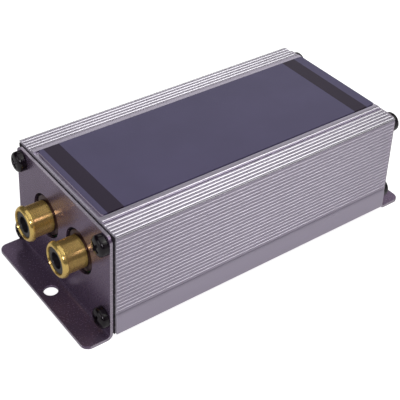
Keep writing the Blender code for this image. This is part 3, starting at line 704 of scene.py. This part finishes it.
def clean_shading():
    """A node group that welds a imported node's triangles and shades its round faces smooth."""
    group, nodes, links, start, end = geometry_group("clean_shading")
    weld = nodes.new("GeometryNodeMergeByDistance")
    weld.inputs["Distance"].default_value = WELD_DISTANCE
    drop = nodes.new("GeometryNodeRemoveAttribute")
    drop.inputs["Name"].default_value = "custom_normal"
    smooth = nodes.new("GeometryNodeSetShadeSmooth")
    smooth.inputs["Shade Smooth"].default_value = True
    angle = nodes.new("GeometryNodeInputMeshEdgeAngle")
    sharp = more_than(nodes, math.radians(PACKED_SHARP_ANGLE))
    edges = nodes.new("GeometryNodeSetShadeSmooth")
    edges.domain = "EDGE"
    edges.inputs["Shade Smooth"].default_value = False
    links.new(start.outputs["Geometry"], weld.inputs["Geometry"])
    links.new(weld.outputs["Geometry"], drop.inputs["Geometry"])
    links.new(drop.outputs["Geometry"], smooth.inputs["Geometry"])
    links.new(smooth.outputs["Geometry"], edges.inputs["Geometry"])
    links.new(angle.outputs["Unsigned Angle"], sharp.inputs["A"])
    links.new(sharp.outputs["Result"], edges.inputs["Selection"])
    links.new(edges.outputs["Geometry"], end.inputs["Geometry"])
    return group


def lower_borders():
    """A node group that lowers the tube's raised borders."""
    group, nodes, links, start, end = geometry_group("lower_borders")
    place = nodes.new("GeometryNodeInputPosition")
    split = nodes.new("ShaderNodeSeparateXYZ")
    above = more_than(nodes, BORDER_ABOVE)
    move = nodes.new("GeometryNodeSetPosition")
    move.inputs["Offset"].default_value = (0, 0, -BORDER_DROP)
    links.new(place.outputs["Position"], split.inputs["Vector"])
    links.new(split.outputs["Z"], above.inputs["A"])
    links.new(above.outputs["Result"], move.inputs["Selection"])
    links.new(start.outputs["Geometry"], move.inputs["Geometry"])
    links.new(move.outputs["Geometry"], end.inputs["Geometry"])
    return group


def dress_nodes(looks):
    """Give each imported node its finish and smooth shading, and fit the tube and the plates."""
    group = clean_shading()
    for name, node in frame["nodes"].items():
        node.data.materials.clear()
        node.data.materials.append(looks[FINISH_OF_SLOT[SLOT_OF[name]]])
        node.modifiers.new("clean_shading", "NODES").node_group = group
        if name == "enclosure_extrusion":
            node.modifiers.new("lower_borders", "NODES").node_group = lower_borders()
        if name.endswith("end_plate"):
            soften = node.modifiers.new("soften", "BEVEL")
            soften.width = SOFT_EDGE
            soften.segments = SOFT_SEGMENTS
            soften.limit_method = "ANGLE"
            soften.angle_limit = math.radians(SOFT_ANGLE)


def stage_floor():
    """A pale floor that the camera sees as white and that keeps the object's shadow."""
    bpy.ops.mesh.primitive_plane_add(size=FLOOR_SIZE, location=(0, 0, 0))
    floor = bpy.context.object
    floor.name = "floor"
    nodes = Nodes("floor", (FLOOR_TONE, FLOOR_TONE, FLOOR_TONE), 1.0)
    nodes.shader.inputs["Specular IOR Level"].default_value = 0.0
    nodes.shader.inputs["Emission Color"].default_value = (1, 1, 1, 1)
    rays = nodes.add("ShaderNodeLightPath").outputs
    direct = nodes.math("MULTIPLY", rays["Is Camera Ray"], FLOOR_LIFT)
    other = nodes.math("MAXIMUM", rays["Is Glossy Ray"], rays["Is Transmission Ray"])
    reflected = nodes.math("MULTIPLY", other, REFLECTED_LIFT)
    nodes.link(nodes.math("ADD", direct, reflected), nodes.shader.inputs["Emission Strength"])
    floor.data.materials.append(nodes.material)


def lamp(name, place, size, power, colour):
    """A soft area lamp that faces the object."""
    data = bpy.data.lights.new(name, "AREA")
    data.shape = "RECTANGLE"
    data.size, data.size_y = size
    data.energy = power
    data.color = colour
    made = bpy.data.objects.new(name, data)
    made.location = place
    way = Vector(LAMP_TARGET) - Vector(place)
    made.rotation_euler = way.to_track_quat("-Z", "Y").to_euler()
    bpy.context.scene.collection.objects.link(made)


def studio():
    """World light and soft lamps."""
    world = bpy.data.worlds.new("studio")
    bpy.context.scene.world = world
    world.use_nodes = True
    tree = world.node_tree
    background = tree.nodes["Background"]
    background.inputs["Color"].default_value = (1, 1, 1, 1)
    background.inputs["Strength"].default_value = WORLD_LEVEL
    white = tree.nodes.new("ShaderNodeBackground")
    white.inputs["Strength"].default_value = 1.0
    path = tree.nodes.new("ShaderNodeLightPath")
    mix = tree.nodes.new("ShaderNodeMixShader")
    tree.links.new(path.outputs["Is Camera Ray"], mix.inputs["Fac"])
    tree.links.new(background.outputs["Background"], mix.inputs[1])
    tree.links.new(white.outputs["Background"], mix.inputs[2])
    tree.links.new(mix.outputs["Shader"], tree.nodes["World Output"].inputs["Surface"])
    for settings in LAMPS:
        lamp(*settings)


def camera():
    """The camera at the photograph's place and angle."""
    data = bpy.data.cameras.new("camera")
    data.lens = CAMERA_LENS
    data.sensor_width = SENSOR_WIDTH
    data.shift_x, data.shift_y = CAMERA_SHIFT
    data.clip_start = CAMERA_CLIP
    made = bpy.data.objects.new("camera", data)
    turn = Matrix.Rotation(math.radians(CAMERA_AZIMUTH), 4, "Z")
    turn @= Matrix.Rotation(math.radians(90 - CAMERA_ELEVATION), 4, "X")
    turn @= Matrix.Rotation(math.radians(CAMERA_ROLL), 4, "Z")
    made.matrix_world = Matrix.Translation(CAMERA_PLACE) @ turn
    bpy.context.scene.collection.objects.link(made)
    bpy.context.scene.camera = made


def main():
    camera()
    looks = finishes()
    dress_nodes(looks)
    jacks(looks)
    screws(looks)
    gaskets(looks)
    stage_floor()
    studio()
    bpy.context.scene.view_settings.view_transform = "Standard"


main()
